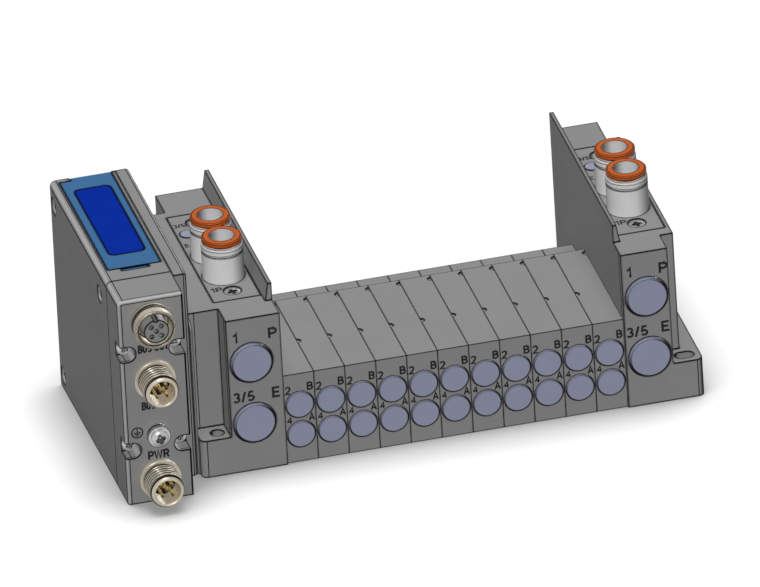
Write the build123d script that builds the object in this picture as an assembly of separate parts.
from build123d import *
import math
import os

# Manifold base of a valve island: a row of station blocks clamped between two end blocks,
# with a fieldbus unit on the left. Lengths are in millimetres. In the sizes below X runs
# along the row from its left face, Y runs back from the front of the stations, Z is up.

# Row of stations
station_count = 11
station_pitch = 10.5
station_depth = 51.25
station_height = 32.6
rear_step_depth = 16.3
rear_step_height = 26.05
row_length = station_count * station_pitch

# Half-round notches in the top of each station, one on its left edge, one on its right
notch_radius = 1.35
notch_depth = 0.6
left_notch_y = 22.0
right_notch_setback = 2.7

# Front ports of a station, and the straight plugs that close them
lower_port_height = 10.1
upper_port_height = 21.1
port_plug_dia = 9.6
port_plug_proud = 0.4
port_plug_length = 10.9
port_plug_rim = 0.3
port_bore_spare = 2.5

# Large plugs in the front of the end blocks
end_plug_dia = 14.3
end_plug_proud = 0.85
end_plug_length = 11.75
end_plug_rim = 0.6
exhaust_plug_height = 17.65
supply_plug_height = 40.05
left_plug_inset = 10.35
right_plug_inset = 8.15

# Flat spring clips, pushed in from below, that hold the plugs by their side notches
clip_setback = 3.35
clip_thickness = 0.7
clip_leg_width = 0.8
clip_bite = 0.8
clip_base = 0.85
clip_bar = 1.7
clip_overrun = 2.5
end_clip_leg_width = 1.0
end_clip_bite = 1.1

# Passages that run through the whole row
supply_channel_width = 7.55
supply_channel_height = 6.7
supply_channel_level = 25.2
exhaust_channel_width = 7.55
exhaust_channel_height = 8.4
exhaust_channel_level = 17.2
wiring_channel_y = 52.9
wiring_channel_width = 11.75
wiring_channel_floor = 3.35
wiring_channel_height = 20.15
passage_dia = 6.8

# Gaskets between neighbouring blocks, each let into the block on its left
gasket_thickness = 0.8
gasket_border = 1.7

# Tie rods: one in a slot open below, one along the top of the wiring channel
tie_rod_dia = 3.0
tie_rod_slot_gap = 0.2
front_rod_y = 20.6
front_rod_level = 5.7
rear_rod_drop = 2.95
rod_thread_depth = 11.75
nut_inset = 15.3
nut_across_flats = 5.5
nut_thickness = 2.4
nut_room = 0.4
rod_end_past_nut = 1.35

# End blocks, measured outwards from the row
block_height = 56.7
block_front = -0.85
block_back = 91.25
narrow_front_depth = 9.4
narrow_back_depth = 12.45
left_narrow = 18.5
left_wide = 28.9
left_foot = 28.9
right_narrow = 15.95
right_wide = 20.35
right_foot = 26.05
foot_height = 13.6
foot_corner = 2.1

# Tall thin shield along the inner edge of each end block, tapered on its outer side
shield_rise = 6.4
shield_base = 2.45
shield_top = 1.45

# Mounting holes in the feet: round ones on the left, slots across on the right
mount_hole_dia = 4.5
mount_slot_length = 6.5
left_mount_inset = 22.2
right_mount_inset = 20.65
mount_edge = 4.55

# Plate let into the top of each end block, with its screws and pilot plug
plate_inset = 2.75
plate_width = 16.15
plate_front = 13.0
plate_length = 62.15
plate_thickness = 2.5
plate_screw_end = 6.3
plate_screw_head_dia = 5.8
plate_screw_head = 1.85
plate_screw_sink = 0.35
plate_screw_dia = 3.0
plate_screw_length = 10.0
pilot_inset = 3.95
pilot_setback = 48.8
pilot_dia = 5.2
pilot_proud = 0.25
pilot_length = 6.7

# Push-in tube fittings, two on each plate
fitting_setback = 17.65
fitting_pitch = 15.0
fitting_dia = 13.95
fitting_rise = 12.5
fitting_chamfer = 0.65
fitting_groove_drop = 2.85
fitting_groove_width = 0.5
fitting_groove_depth = 0.35
fitting_flange_dia = 15.6
fitting_flange = 1.7
fitting_gasket = 0.85
tube_bore = 8.2
sleeve_dia = 10.2
collet_chamber_dia = 11.4
collet_floor_rise = 1.3
tube_stop = 1.25
tube_seal_height = 2.0
collet_height = 2.2
ring_dia = 13.5
ring_flange = 1.6
ring_chamfer = 0.35
ring_gap = 0.8
ring_bead_dia = 10.8
ring_bead = 0.7
ring_bead_gap = 0.1

# Fieldbus unit on the left end block
joint_plate_thickness = 0.85
joint_plate_height = 55.8
joint_plate_front = 2.6
joint_plate_corner = 2.5
adapter_thickness = 4.7
adapter_front = 2.25
adapter_round = 1.2
adapter_slope_length = 3.2
adapter_slope_drop = 0.35
case_width = 22.1
case_front = 4.6
case_back = 78.55
cover_front = -10.35
unit_height = 75.6
unit_wall = 1.8
unit_top_round = 2.0
cover_front_round = 1.2
cover_face_wall = 2.1

# Hinged display cover on top of the case, with a window and a finger tab
display_left_inset = 2.75
display_width = 17.9
display_front = 12.5
display_thickness = 1.35
display_ear_width = 3.95
display_ear_depth = 2.1
display_pin_dia = 0.8
display_pin_length = 0.8
window_left_inset = 2.95
window_width = 12.5
window_front_inset = 9.3
window_length = 47.9
window_corner = 2.1
window_thickness = 0.8
tab_width = 9.25
tab_depth = 1.35
tab_thickness = 0.8
tab_recess_depth = 2.1

# Tray under the display cover, with two address switches and three lamps
tray_wall = 1.2
tray_lip = 1.5
tray_lip_thickness = 1.2
pocket_side_inset = 1.7
pocket_front = 28.55
pocket_length = 30.25
pocket_depth = 7.05
switch_front_y = 35.3
switch_pitch = 10.1
switch_size = 7.55
switch_neck_dia = 7.0
switch_drop = 0.4
rotor_shaft_dia = 2.5
rotor_cap_dia = 5.4
rotor_cap = 0.6
rotor_shaft_length = 4.2
rotor_slot_width = 0.8
rotor_slot_length = 4.2
rotor_slot_depth = 0.3
lamp_y = 54.6
lamp_pitch = 3.85
lamp_dia = 2.2

# Circuit boards of the unit
board_thickness = 1.6
switch_board_drop = 18.15
switch_board_front = 25.2
switch_board_length = 38.65
main_board_gap = 1.7
main_board_front = 14.3
main_board_end_gap = 7.15
main_board_base = 3.35
main_board_headroom = 2.0
connector_board_y = -0.85
connector_board_width = 9.5
connector_board_edge = 3.35
header_width = 3.35
header_height = 10.1
header_level = 25.2
board_post_dia = 4.2
ledge_width = 2.2
ledge_height = 1.7

# Link plug from the main board through the left end block, and the boards behind it
link_width = 10.1
link_height = 7.55
link_window_height = 10.1
link_board_socket_width = 4.2

# Round connectors on the front of the unit
socket_drop = 9.0
connector_pitch = 21.3
power_level = 8.35
connector_flange_dia = 13.9
connector_flange = 1.7
connector_thread_dia = 12.0
connector_length = 11.25
connector_nose_dia = 10.2
connector_shoulder_dia = 11.4
connector_nose = 1.35
connector_bore_dia = 8.6
connector_spigot_dia = 10.75
connector_spigot = 5.45
connector_nut_dia = 12.9
connector_nut_thickness = 2.5
socket_length = 6.55
socket_inner_dia = 10.8
socket_inner_depth = 4.85
socket_groove_start = 2.7
socket_groove_width = 0.5
socket_groove_depth = 0.4
socket_insert_dia = 8.5
socket_key_width = 1.2
socket_key_depth = 0.7
socket_insert_proud = 0.75
socket_hole_dia = 1.1
socket_hole_depth = 2.5
contact_circle_dia = 4.85
pin_dia = 1.0
pin_recess = 1.25
pin_insert_recess = 7.55

# Earth screw on a stack of three washers, on the front of the unit
earth_level = 24.8
earth_head_dia = 5.8
earth_head = 2.2
earth_head_chamfer = 0.75
earth_washer_dia = 7.7
earth_spring_washer_dia = 6.9
earth_washer = 0.85
earth_thread_dia = 3.0
earth_boss_dia = 6.4
earth_boss_depth = 5.9

# Screws of the front cover in their side notches, and of the case in its left side
cover_notch_radius = 2.7
cover_notch_depth = 6.2
cover_notch_left_inset = 2.6
cover_notch_right_inset = 2.7
cover_notch_low_level = 19.75
cover_notch_drop = 20.0
cover_screw_head_dia = 4.8
cover_screw_head = 1.7
cover_screw_dia = 2.5
cover_boss_dia = 6.8
case_boss_depth = 8.4
case_screw_head_dia = 6.0
case_screw_head = 1.7
case_screw_sink = 0.5
case_screw_dia = 3.0
case_boss_dia = 7.5
case_screw_front = 14.9
case_screw_front_drop = 9.6
case_screw_back_inset = 4.0
case_screw_back_drop = 7.4
case_screw_low_level = 5.05
case_screw_grip = 3.5

# Clearances: still pieces in their seats, running pieces, and faces beside moving ones
seat_fit = 0.05
running_fit = 0.05
swing_gap = 0.2
touch_gap = 0.05

# Places worked out from the sizes above
row_depth = station_depth + rear_step_depth
mount_front_y = block_front + mount_edge
mount_back_y = block_back - mount_edge
left_mount_x = -left_mount_inset
right_mount_x = row_length + right_mount_inset
origin_x = (left_mount_x + right_mount_x) / 2
origin_y = (mount_front_y + mount_back_y) / 2
plate_floor = block_height - plate_thickness
flange_floor = plate_floor - fitting_flange
gasket_floor = flange_floor - fitting_gasket
fitting_top = block_height + fitting_rise
fitting_groove_level = fitting_top - fitting_groove_drop
collet_chamber_floor = block_height + collet_floor_rise
collet_top = collet_chamber_floor + tube_seal_height + collet_height
sleeve_end = collet_top + ring_gap
bead_top = sleeve_end + ring_bead
chamber_top = bead_top + ring_bead_gap
supply_y = plate_front + fitting_setback
exhaust_y = supply_y + fitting_pitch
plate_centre = plate_inset + plate_width / 2
rear_rod_y = wiring_channel_y + wiring_channel_width / 2
rear_rod_level = wiring_channel_floor + wiring_channel_height - rear_rod_drop
joint_plate_left = -left_foot - joint_plate_thickness
adapter_left = joint_plate_left - adapter_thickness
unit_left = adapter_left - case_width
unit_centre = (unit_left + adapter_left) / 2
display_left = unit_left + display_left_inset
display_right = display_left + display_width
display_floor = unit_height - display_thickness - touch_gap
hinge_level = unit_height - display_thickness / 2
hinge_y = case_back - display_thickness / 2 - touch_gap
ear_right = display_left + display_ear_width
ear_front = case_back - display_ear_depth
case_ceiling = display_floor - unit_wall
pocket_floor = unit_height - display_thickness - pocket_depth
pocket_x_range = (display_left + pocket_side_inset, display_right - pocket_side_inset)
pocket_y_range = (pocket_front, pocket_front + pocket_length)
tray_x_range = (pocket_x_range[0] - tray_wall, pocket_x_range[1] + tray_wall)
tray_y_range = (pocket_y_range[0] - tray_wall, pocket_y_range[1] + tray_wall)
switch_top = pocket_floor - switch_drop
switch_board_level = unit_height - switch_board_drop
main_board_height = switch_board_level - main_board_headroom - main_board_base
socket_level = unit_height - socket_drop
data_level = socket_level - connector_pitch
main_board_right = adapter_left - unit_wall - main_board_gap
main_board_left = main_board_right - board_thickness
main_board_back = case_back - unit_wall - main_board_end_gap
cover_notch_x = (unit_left + cover_notch_left_inset, adapter_left - cover_notch_right_inset)
cover_notch_levels = (cover_notch_low_level, unit_height - cover_notch_drop)
case_screw_back = case_back - case_screw_back_inset
case_screw_spots = [
    (case_screw_front, unit_height - case_screw_front_drop),
    (case_screw_back, unit_height - case_screw_back_drop),
    (case_screw_back, case_screw_low_level),
]
contact_offset = contact_circle_dia / 2 * math.sqrt(0.5)
contact_spots = [(0, 0)]
for side_x in (-contact_offset, contact_offset):
    for side_z in (-contact_offset, contact_offset):
        contact_spots.append((side_x, side_z))


def span_box(x_range, y_range, z_range):
    """A box between two places on each axis."""
    corner = (min(x_range), min(y_range), min(z_range))
    size = (abs(x_range[1] - x_range[0]), abs(y_range[1] - y_range[0]), abs(z_range[1] - z_range[0]))
    return Pos(*corner) * Box(*size, align=(Align.MIN, Align.MIN, Align.MIN))


def rod_x(x_range, y, z, radius):
    length = abs(x_range[1] - x_range[0])
    return Pos((x_range[0] + x_range[1]) / 2, y, z) * Rot(0, 90, 0) * Cylinder(radius, length)


def rod_y(x, y_range, z, radius):
    length = abs(y_range[1] - y_range[0])
    return Pos(x, (y_range[0] + y_range[1]) / 2, z) * Rot(90, 0, 0) * Cylinder(radius, length)


def rod_z(x, y, z_range, radius):
    length = abs(z_range[1] - z_range[0])
    return Pos(x, y, (z_range[0] + z_range[1]) / 2) * Cylinder(radius, length)


def turned_z(x, y, profile):
    """A turned solid on an upright axis, from its (radius, height) corners."""
    face = make_face(Polyline(*profile, close=True))
    return Pos(x, y, 0) * revolve(Plane.XZ * face, axis=Axis.Z)


def turned_y(x, z, profile):
    """A turned solid on an axis along Y, from its (radius, y) corners."""
    face = make_face(Polyline(*profile, close=True))
    return Pos(x, 0, z) * Rot(-90, 0, 0) * revolve(Plane.XZ * face, axis=Axis.Z)


def extruded_x(x_range, profile):
    """A solid of one section along X, from its (y, z) corners."""
    face = make_face(Polyline(*profile, close=True))
    low = min(x_range)
    return Pos(low, 0, 0) * extrude(Plane.YZ * face, abs(x_range[1] - x_range[0]))


def channel_section(centre_y, width, level, height):
    return (centre_y - width / 2, centre_y + width / 2), (level - height / 2, level + height / 2)


supply_section = channel_section(supply_y, supply_channel_width, supply_channel_level, supply_channel_height)
exhaust_section = channel_section(
    exhaust_y, exhaust_channel_width, exhaust_channel_level, exhaust_channel_height
)
wiring_y_range = (wiring_channel_y, wiring_channel_y + wiring_channel_width)
wiring_z_range = (wiring_channel_floor, wiring_channel_floor + wiring_channel_height)
link_centre_y = wiring_channel_y + wiring_channel_width / 2
link_y_range = (link_centre_y - link_width / 2, link_centre_y + link_width / 2)
link_z_range = (wiring_channel_floor + touch_gap, wiring_channel_floor + link_height)
link_window_z = (wiring_channel_floor, wiring_channel_floor + link_window_height)


def gasket_outline():
    """Y and Z ranges of the gasket that goes round both passages."""
    low_y = supply_section[0][0] - gasket_border
    high_y = exhaust_section[0][1] + gasket_border
    low_z = min(supply_section[1][0], exhaust_section[1][0]) - gasket_border
    high_z = max(supply_section[1][1], exhaust_section[1][1]) + gasket_border
    return (low_y, high_y), (low_z, high_z)


def passages(x_range):
    """The supply and exhaust passages along X."""
    return span_box(x_range, *supply_section) + span_box(x_range, *exhaust_section)


def plug_bore(x, z, front, plug_dia, plug_length):
    y_range = (front - 1, front + plug_length + port_bore_spare)
    return rod_y(x, y_range, z, plug_dia / 2 + seat_fit)


def clip_slot(x, front, plug_dia, bite, leg_width, top_level):
    """Slot from below for the clip that straddles the plugs at x."""
    reach = plug_dia / 2 - bite + leg_width + 2 * seat_fit
    y_range = (front + clip_setback - seat_fit, front + clip_setback + clip_thickness + seat_fit)
    return span_box((x - reach, x + reach), y_range, (-1, top_level + clip_overrun + seat_fit))


def clip(x, front, plug_dia, bite, leg_width, top_level):
    """U-shaped flat clip: a bar below the plugs and a leg on each side of them."""
    inner = plug_dia / 2 - bite
    y_range = (front + clip_setback, front + clip_setback + clip_thickness)
    outer = inner + leg_width
    whole = span_box((x - outer, x + outer), y_range, (clip_base, top_level + clip_overrun))
    gap = span_box((x - inner, x + inner), (front, y_range[1] + 1), (clip_base + clip_bar, top_level * 2))
    return whole - gap


def plug(x, z, front, dia, length, proud, rim, bite):
    """Straight round plug with a bevelled rim and a clip notch on each side."""
    radius = dia / 2
    face = front - proud
    body = turned_y(
        x,
        z,
        [
            (0, face),
            (radius - rim, face),
            (radius, face + rim),
            (radius, front + length),
            (0, front + length),
        ],
    )
    y_range = (front + clip_setback - seat_fit, front + clip_setback + clip_thickness + seat_fit)
    depth = radius - bite - seat_fit
    z_range = (z - dia, z + dia)
    left = span_box((x - dia, x - depth), y_range, z_range)
    right = span_box((x + depth, x + dia), y_range, z_range)
    return body - left - right


def station_block(number):
    left = number * station_pitch
    right = left + station_pitch
    centre = (left + right) / 2
    block = extruded_x(
        (left, right),
        [
            (0, 0),
            (row_depth, 0),
            (row_depth, rear_step_height),
            (station_depth, rear_step_height),
            (station_depth, station_height),
            (0, station_height),
        ],
    )
    through = (left - 1, right + 1)
    block -= passages(through)
    block -= span_box(through, wiring_y_range, wiring_z_range)
    slot_half = tie_rod_dia / 2 + tie_rod_slot_gap
    slot_y = (front_rod_y - slot_half, front_rod_y + slot_half)
    block -= span_box(through, slot_y, (-1, front_rod_level + slot_half))
    block -= span_box((right - gasket_thickness, right + 1), *gasket_outline())
    notch_z = (station_height - notch_depth, station_height + 1)
    block -= rod_z(left, left_notch_y, notch_z, notch_radius)
    block -= rod_z(right, station_depth - right_notch_setback, notch_z, notch_radius)
    for level in (lower_port_height, upper_port_height):
        block -= plug_bore(centre, level, 0, port_plug_dia, port_plug_length)
    block -= clip_slot(centre, 0, port_plug_dia, clip_bite, clip_leg_width, upper_port_height)
    return block


def station_centres():
    return [(number + 0.5) * station_pitch for number in range(station_count)]


def port_plugs():
    plugs = []
    for x in station_centres():
        for level in (lower_port_height, upper_port_height):
            plugs.append(
                plug(x, level, 0, port_plug_dia, port_plug_length, port_plug_proud, port_plug_rim, clip_bite)
            )
    return Compound(plugs)


def plug_clips():
    """Small clips of the stations and the two larger ones of the end blocks."""
    clips = []
    for x in station_centres():
        clips.append(clip(x, 0, port_plug_dia, clip_bite, clip_leg_width, upper_port_height))
    for x in (-left_plug_inset, row_length + right_plug_inset):
        clips.append(
            clip(x, block_front, end_plug_dia, end_clip_bite, end_clip_leg_width, supply_plug_height)
        )
    return Compound(clips)


def block_gaskets():
    """One gasket at each joint of the row, with a window for each passage."""
    gaskets = []
    for joint in range(station_count + 1):
        right = joint * station_pitch
        gasket = span_box((right - gasket_thickness, right), *gasket_outline())
        gaskets.append(gasket - passages((right - station_pitch, right + station_pitch)))
    return Compound(gaskets)


def station_link_boards():
    """A board with its through connector in the wiring channel of each station."""
    boards = []
    for number in range(station_count):
        x_range = (number * station_pitch, (number + 1) * station_pitch)
        floor = link_z_range[0]
        board = span_box(x_range, link_y_range, (floor, floor + board_thickness))
        socket_y = (link_centre_y - link_board_socket_width / 2, link_centre_y + link_board_socket_width / 2)
        boards.append(board + span_box(x_range, socket_y, (floor + board_thickness, link_z_range[1])))
    return Compound(boards)


def tie_rods():
    x_range = (-rod_thread_depth, row_length + nut_inset + nut_thickness + rod_end_past_nut)
    rods = []
    for y, level in ((front_rod_y, front_rod_level), (rear_rod_y, rear_rod_level)):
        rods.append(rod_x(x_range, y, level, tie_rod_dia / 2))
    return Compound(rods)


def tie_rod_nuts():
    nuts = []
    for y, level in ((front_rod_y, front_rod_level), (rear_rod_y, rear_rod_level)):
        nut = extrude(RegularPolygon(nut_across_flats / 2, 6, major_radius=False), nut_thickness)
        nut -= Cylinder(tie_rod_dia / 2 + seat_fit, 4 * nut_thickness)
        nuts.append(Pos(row_length + nut_inset, y, level) * Rot(0, 90, 0) * nut)
    return Compound(nuts)


def block_outline(narrow, wide):
    """Plan of an end block above its feet, outwards from the row along +X."""
    notch_front_y = block_front + narrow_front_depth
    notch_back_y = block_back - narrow_back_depth
    corners = [
        (0, block_front),
        (narrow, block_front),
        (narrow, notch_front_y),
        (wide, notch_front_y),
        (wide, notch_back_y),
        (narrow, notch_back_y),
        (narrow, block_back),
        (0, block_back),
    ]
    return make_face(Polyline(*corners, close=True))


def shield():
    """Thin upright wall on the inner edge, straight inside and tapered outside."""
    corners = [
        (0, block_height),
        (shield_base, block_height),
        (shield_top, block_height + shield_rise),
        (0, block_height + shield_rise),
    ]
    face = Plane.XZ * make_face(Polyline(*corners, close=True))
    return Pos(0, block_back, 0) * extrude(face, block_back - block_front - narrow_front_depth)


def end_block_shape(narrow, wide, foot):
    upper = extrude(block_outline(narrow, wide), block_height)
    base = span_box((0, foot), (block_front, block_back), (0, foot_height))
    outer_edges = base.edges().filter_by(Axis.Z).group_by(Axis.X)[-1]
    return upper + fillet(outer_edges, foot_corner) + shield()


def plate_pocket():
    """Pocket for the plate, the recess for the fitting flanges, and the threads below."""
    x_range = (plate_inset, plate_inset + plate_width)
    pocket = span_box(x_range, (plate_front, plate_front + plate_length), (plate_floor, block_height + 1))
    thread_z = (block_height - plate_screw_length, block_height)
    for x, y in plate_screw_spots():
        pocket += rod_z(x, y, thread_z, plate_screw_dia / 2 + seat_fit)
    middle = (supply_y + exhaust_y) / 2
    recess = flange_slot(seat_fit)
    return pocket + Pos(plate_centre, middle, gasket_floor) * extrude(recess, plate_floor - gasket_floor + 1)


def flange_slot(clearance):
    """Plan of the recess that takes both fitting flanges."""
    dia = fitting_flange_dia + 2 * clearance
    return Rot(0, 0, 90) * SlotCenterToCenter(fitting_pitch, dia)


def plate_screw_spots():
    near = plate_front + plate_screw_end
    far = plate_front + plate_length - plate_screw_end
    return [(plate_centre, near), (plate_centre, far)]


def block_passages(plug_inset):
    """Passages from both fittings and both front ports to the row."""
    radius = passage_dia / 2
    reach = plate_centre + radius
    cuts = passages((-1, reach))
    plug_floor = block_front + end_plug_length + port_bore_spare - 1
    cuts += rod_z(plate_centre, supply_y, (supply_channel_level, plate_floor), radius)
    cuts += rod_z(plate_centre, exhaust_y, (exhaust_channel_level, plate_floor), radius)
    cuts += rod_y(plug_inset, (plug_floor, supply_y), supply_plug_height, radius)
    cuts += rod_y(plug_inset, (plug_floor, exhaust_y), exhaust_plug_height, radius)
    for level in (exhaust_plug_height, supply_plug_height):
        cuts += plug_bore(plug_inset, level, block_front, end_plug_dia, end_plug_length)
    return cuts + clip_slot(
        plug_inset, block_front, end_plug_dia, end_clip_bite, end_clip_leg_width, supply_plug_height
    )


def end_block(narrow, wide, foot, plug_inset, pilot_x):
    block = end_block_shape(narrow, wide, foot)
    block -= plate_pocket()
    block -= block_passages(plug_inset)
    pilot_y = plate_front + pilot_setback
    pilot_z = (block_height - pilot_length, block_height)
    return block - rod_z(pilot_x, pilot_y, pilot_z, pilot_dia / 2 + seat_fit)


def end_block_left():
    """Left block: threads for the tie rods, window for the link plug, round foot holes."""
    block = end_block(
        left_narrow, left_wide, left_foot, left_plug_inset, plate_inset + plate_width - pilot_inset
    )
    for y in (mount_front_y, mount_back_y):
        block -= rod_z(left_mount_inset, y, (-1, foot_height + 1), mount_hole_dia / 2)
    for y, level in ((front_rod_y, front_rod_level), (rear_rod_y, rear_rod_level)):
        block -= rod_x((-1, rod_thread_depth + seat_fit), y, level, tie_rod_dia / 2 + seat_fit)
    block -= span_box((-1, left_foot + 1), wiring_y_range, link_window_z)
    block -= span_box((-1, gasket_thickness), *gasket_outline())
    return mirror(block, about=Plane.YZ)


def end_block_right():
    """Right block: the tie rods pass through it to their nuts, and its foot holes are slots."""
    block = end_block(right_narrow, right_wide, right_foot, right_plug_inset, plate_inset + pilot_inset)
    slot = SlotOverall(mount_slot_length, mount_hole_dia)
    for y in (mount_front_y, mount_back_y):
        block -= Pos(right_mount_inset, y, -1) * extrude(slot, foot_height + 2)
    for y, level in ((front_rod_y, front_rod_level), (rear_rod_y, rear_rod_level)):
        block -= rod_x((-1, nut_inset + 1), y, level, tie_rod_dia / 2 + tie_rod_slot_gap)
        corner_radius = nut_across_flats / math.sqrt(3)
        block -= rod_x((nut_inset, right_foot + 1), y, level, corner_radius + nut_room)
    return Pos(row_length, 0, 0) * block


def plug_places():
    """X and Z of the four large plugs."""
    columns = (-left_plug_inset, row_length + right_plug_inset)
    return [(x, z) for x in columns for z in (exhaust_plug_height, supply_plug_height)]


def end_port_plugs():
    plugs = []
    for x, z in plug_places():
        plugs.append(
            plug(
                x, z, block_front, end_plug_dia, end_plug_length, end_plug_proud, end_plug_rim, end_clip_bite
            )
        )
    return Compound(plugs)


# Both plates are the same part, so their details sit the same way round on either block
plate_lefts = {"left": -plate_inset - plate_width, "right": row_length + plate_inset}
fitting_places = {}
for side, plate_left in plate_lefts.items():
    fitting_places["supply_" + side] = (plate_left + plate_width / 2, supply_y)
    fitting_places["exhaust_" + side] = (plate_left + plate_width / 2, exhaust_y)


def fitting_plates():
    plates = []
    for left in plate_lefts.values():
        x_range = (left + seat_fit, left + plate_width - seat_fit)
        y_range = (plate_front + seat_fit, plate_front + plate_length - seat_fit)
        plate = span_box(x_range, y_range, (plate_floor, block_height))
        centre = left + plate_width / 2
        z_range = (plate_floor - 1, block_height + 1)
        for y in (supply_y, exhaust_y):
            plate -= rod_z(centre, y, z_range, fitting_dia / 2 + seat_fit)
        plate -= rod_z(left + pilot_inset, plate_front + pilot_setback, z_range, pilot_dia / 2 + seat_fit)
        for _, y in plate_screw_spots():
            plate -= rod_z(centre, y, z_range, plate_screw_dia / 2 + seat_fit)
            seat = block_height - plate_screw_sink - plate_screw_head
            plate -= rod_z(centre, y, (seat, block_height + 1), plate_screw_head_dia / 2 + seat_fit)
        plates.append(plate)
    return Compound(plates)


def plate_screws():
    screws = []
    for left in plate_lefts.values():
        for _, y in plate_screw_spots():
            top = block_height - plate_screw_sink
            head = rod_z(left + plate_width / 2, y, (top - plate_screw_head, top), plate_screw_head_dia / 2)
            tip = block_height - plate_screw_length + touch_gap
            shank = rod_z(left + plate_width / 2, y, (tip, top - plate_screw_head), plate_screw_dia / 2)
            screws.append(head + shank)
    return Compound(screws)


def pilot_plugs():
    plugs = []
    for left in plate_lefts.values():
        z_range = (block_height - pilot_length + touch_gap, block_height + pilot_proud)
        plugs.append(rod_z(left + pilot_inset, plate_front + pilot_setback, z_range, pilot_dia / 2))
    return Compound(plugs)


def fitting_gaskets():
    """Flat gasket under the flanges of each pair of fittings."""
    gaskets = []
    for left in plate_lefts.values():
        centre = left + plate_width / 2
        middle = (supply_y + exhaust_y) / 2
        gasket = Pos(centre, middle, gasket_floor) * extrude(flange_slot(0), fitting_gasket)
        for y in (supply_y, exhaust_y):
            gasket -= rod_z(centre, y, (gasket_floor - 1, flange_floor + 1), passage_dia / 2)
        gaskets.append(gasket)
    return Compound(gaskets)


def fitting_body(x, y):
    """Body of a push-in fitting: flange under the plate, collet chamber, bore for the tube."""
    radius = fitting_dia / 2
    groove_radius = radius - fitting_groove_depth
    groove_top = fitting_groove_level + fitting_groove_width
    body = turned_z(
        x,
        y,
        [
            (passage_dia / 2, flange_floor),
            (fitting_flange_dia / 2, flange_floor),
            (fitting_flange_dia / 2, plate_floor),
            (radius, plate_floor),
            (radius, fitting_groove_level),
            (groove_radius, fitting_groove_level),
            (groove_radius, groove_top),
            (radius, groove_top),
            (radius, fitting_top - fitting_chamfer),
            (radius - fitting_chamfer, fitting_top),
            (sleeve_dia / 2 + running_fit, fitting_top),
            (sleeve_dia / 2 + running_fit, chamber_top),
            (collet_chamber_dia / 2, chamber_top),
            (collet_chamber_dia / 2, collet_chamber_floor),
            (tube_bore / 2, collet_chamber_floor),
            (tube_bore / 2, flange_floor + tube_stop),
            (passage_dia / 2, flange_floor + tube_stop),
        ],
    )
    # The flanges of neighbours are flattened where they meet
    flat = fitting_pitch / 2 - seat_fit
    x_range = (x - fitting_dia, x + fitting_dia)
    z_range = (flange_floor - 1, plate_floor)
    body -= span_box(x_range, (y + flat, y + fitting_dia), z_range)
    return body - span_box(x_range, (y - fitting_dia, y - flat), z_range)


def release_ring(x, y):
    """Ring that is pressed down to free the tube: a collar on a sleeve, held in by a bead."""
    bottom = fitting_top + ring_gap
    top = bottom + ring_flange
    return turned_z(
        x,
        y,
        [
            (tube_bore / 2, sleeve_end),
            (ring_bead_dia / 2, sleeve_end),
            (ring_bead_dia / 2, bead_top),
            (sleeve_dia / 2, bead_top),
            (sleeve_dia / 2, bottom),
            (ring_dia / 2, bottom),
            (ring_dia / 2, top - ring_chamfer),
            (ring_dia / 2 - ring_chamfer, top),
            (tube_bore / 2, top),
        ],
    )


def tube_seals():
    """Seal ring at the foot of each collet chamber, bevelled towards the tube."""
    seals = []
    outer = collet_chamber_dia / 2 - seat_fit
    inner = tube_bore / 2 + seat_fit
    for x, y in fitting_places.values():
        floor = collet_chamber_floor
        profile = [(inner, floor), (outer, floor), (outer, floor + tube_seal_height)]
        seals.append(turned_z(x, y, profile))
    return Compound(seals)


def tube_collets():
    """Gripping ring above each seal, cone-shaped inside to take the sleeve's end."""
    collets = []
    outer = collet_chamber_dia / 2 - seat_fit
    inner = tube_bore / 2 + seat_fit
    for x, y in fitting_places.values():
        floor = collet_chamber_floor + tube_seal_height
        profile = [(inner, floor), (outer, floor), (outer, collet_top), (sleeve_dia / 2, collet_top)]
        collets.append(turned_z(x, y, profile))
    return Compound(collets)


def joint_plate():
    x_range = (joint_plate_left, -left_foot)
    plate = span_box(x_range, (joint_plate_front, case_back), (0, joint_plate_height))
    front_top = plate.edges().filter_by(Axis.X).group_by(Axis.Z)[-1].sort_by(Axis.Y)[0]
    plate = fillet(front_top, joint_plate_corner)
    return plate - span_box((joint_plate_left - 1, 1 - left_foot), wiring_y_range, link_window_z)


def unit_adapter():
    """Side plate between the case and the end block, its top sloped a little in front."""
    adapter = extruded_x(
        (adapter_left, joint_plate_left),
        [
            (adapter_front, 0),
            (case_back, 0),
            (case_back, unit_height),
            (adapter_front + adapter_slope_length, unit_height),
            (adapter_front, unit_height - adapter_slope_drop),
        ],
    )
    right_edges = adapter.faces().sort_by(Axis.X)[-1].edges()
    outer_edges = [edge for edge in right_edges if edge.center().Z > 1 and edge.center().Y < case_back - 1]
    adapter = fillet(outer_edges, adapter_round)
    adapter -= span_box((adapter_left - 1, joint_plate_left + 1), wiring_y_range, link_window_z)
    for y, level in case_screw_spots:
        grip = (adapter_left - 1, adapter_left + case_screw_grip + touch_gap)
        adapter -= rod_x(grip, y, level, case_screw_dia / 2 + seat_fit)
    return adapter


def display_recess():
    """Room for the display cover, open at the back, with the hinge ear left standing."""
    x_range = (display_left - swing_gap, display_right + swing_gap)
    recess = span_box(x_range, (display_front - swing_gap, case_back + 1), (display_floor, unit_height + 1))
    ear_x = (display_left - 2 * swing_gap, ear_right - swing_gap)
    recess -= span_box(ear_x, (ear_front, case_back + 2), (display_floor - 1, unit_height + 2))
    middle = (display_left + display_right) / 2
    tab_x = (middle - tab_width / 2 - swing_gap, middle + tab_width / 2 + swing_gap)
    tab_y = (display_front - tab_recess_depth, display_front)
    return recess + span_box(tab_x, tab_y, (display_floor, unit_height + 1))


def switch_places():
    return [(unit_centre, switch_front_y + number * switch_pitch) for number in range(2)]


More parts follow.
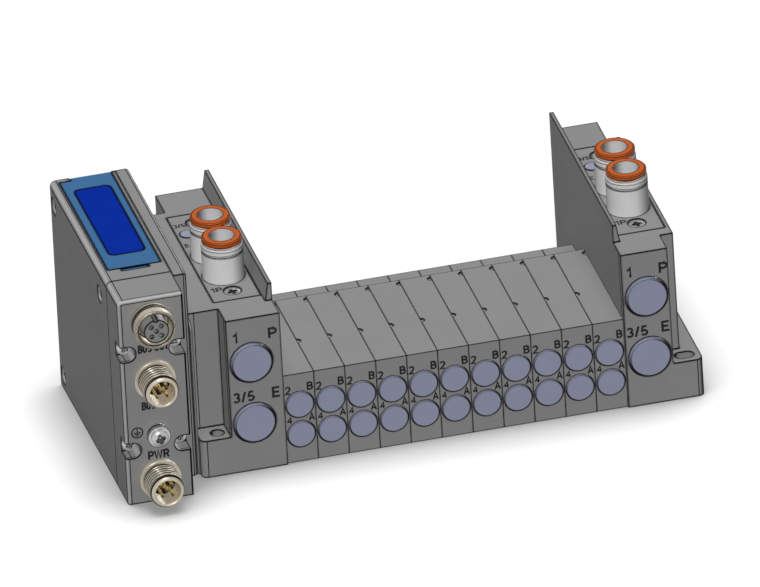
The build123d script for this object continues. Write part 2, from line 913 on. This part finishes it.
def lamp_places():
    return [(unit_centre + offset * lamp_pitch, lamp_y) for offset in (-1, 0, 1)]


def switch_tray():
    """Open tray pushed up into the case's top, with holes for the switches and the lamps."""
    tray = span_box(tray_x_range, tray_y_range, (pocket_floor - tray_wall, display_floor))
    lip_y = (tray_y_range[0] - tray_lip, tray_y_range[1] + tray_lip)
    tray += span_box(tray_x_range, lip_y, (case_ceiling - tray_lip_thickness, case_ceiling))
    tray -= span_box(pocket_x_range, pocket_y_range, (pocket_floor, unit_height))
    z_range = (pocket_floor - tray_wall - 1, pocket_floor + 1)
    for x, y in switch_places():
        tray -= rod_z(x, y, z_range, switch_neck_dia / 2 + seat_fit)
    for x, y in lamp_places():
        tray -= rod_z(x, y, z_range, lamp_dia / 2 + seat_fit)
    return tray


def unit_case():
    """Case of the unit: a shell open in front, with an opening in its top for the tray."""
    case = span_box((unit_left, adapter_left), (case_front, case_back), (0, unit_height))
    left_top = case.edges().filter_by(Axis.Y).group_by(Axis.Z)[-1].sort_by(Axis.X)[0]
    case = fillet(left_top, unit_top_round)
    inner_x = (unit_left + unit_wall, adapter_left - unit_wall)
    inner_y = (case_front - 1, case_back - unit_wall)
    case -= span_box(inner_x, inner_y, (unit_wall, case_ceiling))
    for y, level in case_screw_spots:
        case += rod_x((unit_left + unit_wall / 2, adapter_left - unit_wall / 2), y, level, case_boss_dia / 2)
    case += cover_bosses((case_front, case_front + case_boss_depth))
    case = case & span_box((unit_left, adapter_left), (case_front, case_back), (0, unit_height))
    tray_hole_x = (tray_x_range[0] - seat_fit, tray_x_range[1] + seat_fit)
    tray_hole_y = (tray_y_range[0] - seat_fit, tray_y_range[1] + seat_fit)
    case -= span_box(tray_hole_x, tray_hole_y, (case_ceiling - 1, unit_height))
    case -= display_recess()
    case += board_ledges(inner_x)
    case += board_posts(inner_x[1])
    case -= span_box((inner_x[1] - 1, adapter_left + 1), wiring_y_range, link_window_z)
    for x in cover_notch_x:
        for level in cover_notch_levels:
            y_range = (case_front - 1, case_front + case_boss_depth - 1)
            case -= rod_y(x, y_range, level, cover_screw_dia / 2 + seat_fit)
    for y, level in case_screw_spots:
        case -= rod_x((unit_left - 1, adapter_left + 1), y, level, case_screw_dia / 2 + seat_fit)
        head_end = unit_left + case_screw_sink + case_screw_head
        case -= rod_x((unit_left - 1, head_end), y, level, case_screw_head_dia / 2 + seat_fit)
    pin_hole = display_pin_dia / 2 + running_fit
    reach = display_pin_length + 2 * swing_gap
    case -= rod_x((display_right, display_right + reach), hinge_y, hinge_level, pin_hole)
    return case - rod_x((ear_right - reach, ear_right), hinge_y, hinge_level, pin_hole)


def board_ledges(inner_x):
    """Ledges on both side walls that carry the switch board."""
    y_range = (switch_board_front, switch_board_front + switch_board_length)
    z_range = (switch_board_level - ledge_height, switch_board_level)
    left = span_box((inner_x[0] - 1, inner_x[0] + ledge_width), y_range, z_range)
    return left + span_box((inner_x[1] - ledge_width, inner_x[1] + 1), y_range, z_range)


def board_posts(wall_x):
    """Posts on the right wall that carry the main board."""
    posts = []
    inset = board_post_dia
    for y in (main_board_front + inset, main_board_back - inset):
        for z in (main_board_base + 3 * inset, main_board_base + main_board_height - inset):
            posts.append(rod_x((main_board_right, wall_x + 1), y, z, board_post_dia / 2))
    return posts


def cover_bosses(y_range):
    """Bosses behind the cover's screw notches, as stretches along Y."""
    bosses = []
    for x in cover_notch_x:
        for level in cover_notch_levels:
            bosses.append(rod_y(x, y_range, level, cover_boss_dia / 2))
    return bosses


def cover_notches():
    """Round-ended notches from the cover's sides, with room for a screw head."""
    y_range = (cover_front - 1, cover_front + cover_notch_depth)
    notches = []
    for x, side in zip(cover_notch_x, (unit_left, adapter_left)):
        outside = side + (side - x)
        for level in cover_notch_levels:
            notch = rod_y(x, y_range, level, cover_notch_radius)
            z_range = (level - cover_notch_radius, level + cover_notch_radius)
            notches.append(notch + span_box((x, outside), y_range, z_range))
    return notches


def unit_front_cover():
    """Front cover: a cap with rounded front edges that carries the round connectors."""
    cover = span_box((unit_left, adapter_left), (cover_front, case_front), (0, unit_height))
    left_top = cover.edges().filter_by(Axis.Y).group_by(Axis.Z)[-1].sort_by(Axis.X)[0]
    cover = fillet(left_top, unit_top_round)
    front_face = cover.faces().sort_by(Axis.Y)[0]
    rim = [edge for edge in front_face.edges() if edge.center().Z > 1 and edge.center().X < adapter_left - 1]
    cover = fillet(rim, cover_front_round)
    inner_x = (unit_left + unit_wall, adapter_left - unit_wall)
    inner_y = (cover_front + cover_face_wall, case_front + 1)
    cavity = span_box(inner_x, inner_y, (unit_wall, unit_height - unit_wall))
    for boss in cover_bosses((cover_front, case_front)):
        cavity -= boss
    earth_boss_y = (cover_front, cover_front + earth_boss_depth)
    cavity -= rod_y(unit_centre, earth_boss_y, earth_level, earth_boss_dia / 2)
    cover -= cavity
    for notch in cover_notches():
        cover -= notch
    for x in cover_notch_x:
        for level in cover_notch_levels:
            cover -= rod_y(x, (cover_front, case_front + 1), level, cover_screw_dia / 2 + seat_fit)
    for level in (socket_level, data_level, power_level):
        y_range = (cover_front - 1, cover_front + cover_face_wall + 1)
        cover -= rod_y(unit_centre, y_range, level, connector_spigot_dia / 2 + seat_fit)
    earth_hole = (cover_front - 1, cover_front + earth_boss_depth + 1)
    return cover - rod_y(unit_centre, earth_hole, earth_level, earth_thread_dia / 2 + seat_fit)


def display_cover():
    """Flat hinged cover: round back edge on the hinge, finger tab in front, window pocket."""
    x_range = (display_left, display_right)
    z_range = (unit_height - display_thickness, unit_height)
    cover = span_box(x_range, (display_front, hinge_y), z_range)
    cover += rod_x((display_left, display_right), hinge_y, hinge_level, display_thickness / 2)
    middle = (display_left + display_right) / 2
    tab_x = (middle - tab_width / 2, middle + tab_width / 2)
    tab_y = (display_front - tab_depth, display_front)
    cover += span_box(tab_x, tab_y, (z_range[0], z_range[0] + tab_thickness))
    ear_y = (ear_front - swing_gap, case_back + 1)
    cover -= span_box((display_left - 1, ear_right), ear_y, (0, unit_height + 1))
    pin_x = (display_right - 1, display_right + display_pin_length)
    cover += rod_x(pin_x, hinge_y, hinge_level, display_pin_dia / 2)
    cover += rod_x((ear_right - display_pin_length, ear_right + 1), hinge_y, hinge_level, display_pin_dia / 2)
    return cover - window_shape(0)


def window_shape(clearance):
    """The window's rounded plate, smaller all round by the clearance."""
    left = display_left + window_left_inset
    front = display_front + window_front_inset
    centre = (left + window_width / 2, front + window_length / 2)
    outline = RectangleRounded(window_width - 2 * clearance, window_length - 2 * clearance, window_corner)
    return Pos(*centre, unit_height - window_thickness) * extrude(outline, window_thickness)


def address_switches():
    """Bodies of the rotary switches, each with a round neck and a bore for its rotor."""
    switches = []
    base = switch_board_level + board_thickness
    for x, y in switch_places():
        half = switch_size / 2
        underside = pocket_floor - tray_wall - touch_gap
        switch = span_box((x - half, x + half), (y - half, y + half), (base, underside))
        switch += rod_z(x, y, (underside, switch_top), switch_neck_dia / 2)
        bore = (switch_top - rotor_shaft_length - 1, switch_top + 1)
        switches.append(switch - rod_z(x, y, bore, rotor_shaft_dia / 2 + running_fit))
    return Compound(switches)


def switch_rotor(x, y):
    """Rotor with a slotted cap that a small screwdriver turns."""
    cap_floor = switch_top + touch_gap
    cap_top = cap_floor + rotor_cap
    rotor = rod_z(x, y, (cap_floor, cap_top), rotor_cap_dia / 2)
    rotor += rod_z(x, y, (switch_top - rotor_shaft_length, cap_floor), rotor_shaft_dia / 2)
    half = rotor_slot_width / 2
    reach = rotor_slot_length / 2
    slot_z = (cap_top - rotor_slot_depth, cap_top + 1)
    return rotor - span_box((x - half, x + half), (y - reach, y + reach), slot_z)


def status_lamps():
    lamps = []
    for x, y in lamp_places():
        z_range = (switch_board_level + board_thickness, pocket_floor)
        lamps.append(rod_z(x, y, z_range, lamp_dia / 2))
    return Compound(lamps)


def switch_board():
    x_range = (unit_left + unit_wall + seat_fit, adapter_left - unit_wall - seat_fit)
    y_range = (switch_board_front, switch_board_front + switch_board_length)
    return span_box(x_range, y_range, (switch_board_level, switch_board_level + board_thickness))


def main_board():
    z_range = (main_board_base, main_board_base + main_board_height)
    return span_box((main_board_left, main_board_right), (main_board_front, main_board_back), z_range)


def connector_board():
    half = connector_board_width / 2
    y_range = (connector_board_y, connector_board_y + board_thickness)
    z_range = (connector_board_edge, unit_height - connector_board_edge)
    return span_box((unit_centre - half, unit_centre + half), y_range, z_range)


def board_headers():
    """Headers that join the connector board and the switch board to the main board."""
    x_range = (main_board_left - header_width, main_board_left)
    y_range = (connector_board_y + board_thickness, main_board_front + header_height)
    front = span_box(x_range, y_range, (header_level, header_level + header_height))
    upper_y = (switch_board_front + header_height, switch_board_front + 2 * header_height)
    upper = span_box(x_range, upper_y, (switch_board_level - header_height, switch_board_level))
    return Compound([front, upper])


def link_plug():
    return span_box((main_board_right, 0), link_y_range, link_z_range)


def pin_shell(level):
    """Metal shell of a pin connector: flange on the cover, thread, nose, spigot inside."""
    front = cover_front - connector_length
    bore = connector_bore_dia / 2
    thread = connector_thread_dia / 2
    flange = connector_flange_dia / 2
    nose = connector_nose_dia / 2
    shoulder = connector_shoulder_dia / 2
    spigot = connector_spigot_dia / 2
    return turned_y(
        unit_centre,
        level,
        [
            (bore, front),
            (nose, front),
            (shoulder, front + connector_nose),
            (thread, front + connector_nose),
            (thread, cover_front - connector_flange),
            (flange, cover_front - connector_flange),
            (flange, cover_front),
            (spigot, cover_front),
            (spigot, cover_front + connector_spigot),
            (bore, cover_front + connector_spigot),
        ],
    )


def pin_inserts():
    inserts = []
    front = cover_front - connector_length + pin_insert_recess
    for level in (data_level, power_level):
        radius = connector_bore_dia / 2 - seat_fit
        inserts.append(rod_y(unit_centre, (front, connector_board_y), level, radius))
    return Compound(inserts)


def connector_pins():
    pins = []
    front = cover_front - connector_length
    y_range = (front + pin_recess, front + pin_insert_recess)
    for level in (data_level, power_level):
        for offset_x, offset_z in contact_spots:
            pins.append(rod_y(unit_centre + offset_x, y_range, level + offset_z, pin_dia / 2))
    return Compound(pins)


def socket_shell():
    """Metal shell of the socket connector: grooved outside, wide mouth round the insert."""
    front = cover_front - socket_length
    outer = connector_flange_dia / 2
    groove = outer - socket_groove_depth
    groove_back = cover_front - socket_groove_start
    groove_front = groove_back - socket_groove_width
    bore = socket_insert_dia / 2 + seat_fit
    spigot = connector_spigot_dia / 2
    return turned_y(
        unit_centre,
        socket_level,
        [
            (socket_inner_dia / 2, front),
            (outer, front),
            (outer, groove_front),
            (groove, groove_front),
            (groove, groove_back),
            (outer, groove_back),
            (outer, cover_front),
            (spigot, cover_front),
            (spigot, cover_front + connector_spigot),
            (bore, cover_front + connector_spigot),
            (bore, front + socket_inner_depth),
            (socket_inner_dia / 2, front + socket_inner_depth),
        ],
    )


def socket_insert():
    front = cover_front - socket_length - socket_insert_proud
    radius = socket_insert_dia / 2
    insert = rod_y(unit_centre, (front, connector_board_y), socket_level, radius)
    key_x = (unit_centre - socket_key_width / 2, unit_centre + socket_key_width / 2)
    key_y = (front - 1, cover_front - socket_length + socket_inner_depth)
    insert -= span_box(key_x, key_y, (socket_level + radius - socket_key_depth, socket_level + 2 * radius))
    for offset_x, offset_z in contact_spots:
        y_range = (front - 1, front + socket_hole_depth)
        insert -= rod_y(unit_centre + offset_x, y_range, socket_level + offset_z, socket_hole_dia / 2)
    return insert


def connector_nuts():
    """Ring nuts that clamp the shells from inside the cover."""
    nuts = []
    front = cover_front + cover_face_wall
    y_range = (front, front + connector_nut_thickness)
    for level in (socket_level, data_level, power_level):
        nut = rod_y(unit_centre, y_range, level, connector_nut_dia / 2)
        bore = rod_y(unit_centre, (front - 1, y_range[1] + 1), level, connector_spigot_dia / 2 + seat_fit)
        nuts.append(nut - bore)
    return Compound(nuts)


def earth_washers():
    """A spring washer between two flat ones, from the cover outwards."""
    washers = []
    back = cover_front
    for dia in (earth_washer_dia, earth_spring_washer_dia, earth_washer_dia):
        washer = rod_y(unit_centre, (back - earth_washer, back), earth_level, dia / 2)
        bore = (back - earth_washer - 1, back + 1)
        washers.append(washer - rod_y(unit_centre, bore, earth_level, earth_thread_dia / 2 + seat_fit))
        back -= earth_washer
    return Compound(washers)


def earth_screw():
    """Earth screw with a bevelled head in front of its washers."""
    washer_front = cover_front - 3 * earth_washer
    head_front = washer_front - earth_head
    radius = earth_head_dia / 2
    thread = earth_thread_dia / 2
    tip = cover_front + earth_boss_depth
    return turned_y(
        unit_centre,
        earth_level,
        [
            (0, head_front),
            (radius - earth_head_chamfer, head_front),
            (radius, head_front + earth_head_chamfer),
            (radius, washer_front),
            (thread, washer_front),
            (thread, tip),
            (0, tip),
        ],
    )


def cover_screws():
    screws = []
    seat = cover_front + cover_notch_depth
    tip = case_front + case_boss_depth - 1 - touch_gap
    for x in cover_notch_x:
        for level in cover_notch_levels:
            head = rod_y(x, (seat - cover_screw_head, seat), level, cover_screw_head_dia / 2)
            screws.append(head + rod_y(x, (seat, tip), level, cover_screw_dia / 2))
    return Compound(screws)


def case_screws():
    screws = []
    seat = unit_left + case_screw_sink + case_screw_head
    for y, level in case_screw_spots:
        head = rod_x((unit_left + case_screw_sink, seat), y, level, case_screw_head_dia / 2)
        screws.append(head + rod_x((seat, adapter_left + case_screw_grip), y, level, case_screw_dia / 2))
    return Compound(screws)


def save(name, shape):
    """Write one piece, with the middle of the mounting holes as the origin."""
    export_step(Pos(-origin_x, -origin_y, 0) * shape, f"parts/{name}.step")


def save_row():
    for number in range(station_count):
        save(f"station_block_{number + 1:02d}", station_block(number))
    save("port_plugs", port_plugs())
    save("plug_clips", plug_clips())
    save("block_gaskets", block_gaskets())
    save("station_link_boards", station_link_boards())
    save("tie_rods", tie_rods())
    save("tie_rod_nuts", tie_rod_nuts())


def save_end_blocks():
    save("end_block_left", end_block_left())
    save("end_block_right", end_block_right())
    save("end_port_plugs", end_port_plugs())
    save("fitting_plates", fitting_plates())
    save("plate_screws", plate_screws())
    save("pilot_plugs", pilot_plugs())
    save("fitting_gaskets", fitting_gaskets())
    for place, (x, y) in fitting_places.items():
        save(f"fitting_body_{place}", fitting_body(x, y))
        save(f"release_ring_{place}", release_ring(x, y))
    save("tube_seals", tube_seals())
    save("tube_collets", tube_collets())


def save_unit():
    save("joint_plate", joint_plate())
    save("unit_adapter", unit_adapter())
    save("unit_case", unit_case())
    save("switch_tray", switch_tray())
    save("unit_front_cover", unit_front_cover())
    save("display_cover", display_cover())
    save("display_window", window_shape(seat_fit))
    save("main_board", main_board())
    save("switch_board", switch_board())
    save("connector_board", connector_board())
    save("board_headers", board_headers())
    save("address_switches", address_switches())
    for name, (x, y) in zip(("tens", "units"), switch_places()):
        save(f"switch_rotor_{name}", switch_rotor(x, y))
    save("status_lamps", status_lamps())
    save("link_plug", link_plug())
    save("socket_shell", socket_shell())
    save("socket_insert", socket_insert())
    save("pin_shells", Compound([pin_shell(data_level), pin_shell(power_level)]))
    save("pin_inserts", pin_inserts())
    save("connector_pins", connector_pins())
    save("connector_nuts", connector_nuts())
    save("earth_screw", earth_screw())
    save("earth_washers", earth_washers())
    save("cover_screws", cover_screws())
    save("case_screws", case_screws())


os.makedirs("parts", exist_ok=True)
save_row()
save_end_blocks()
save_unit()
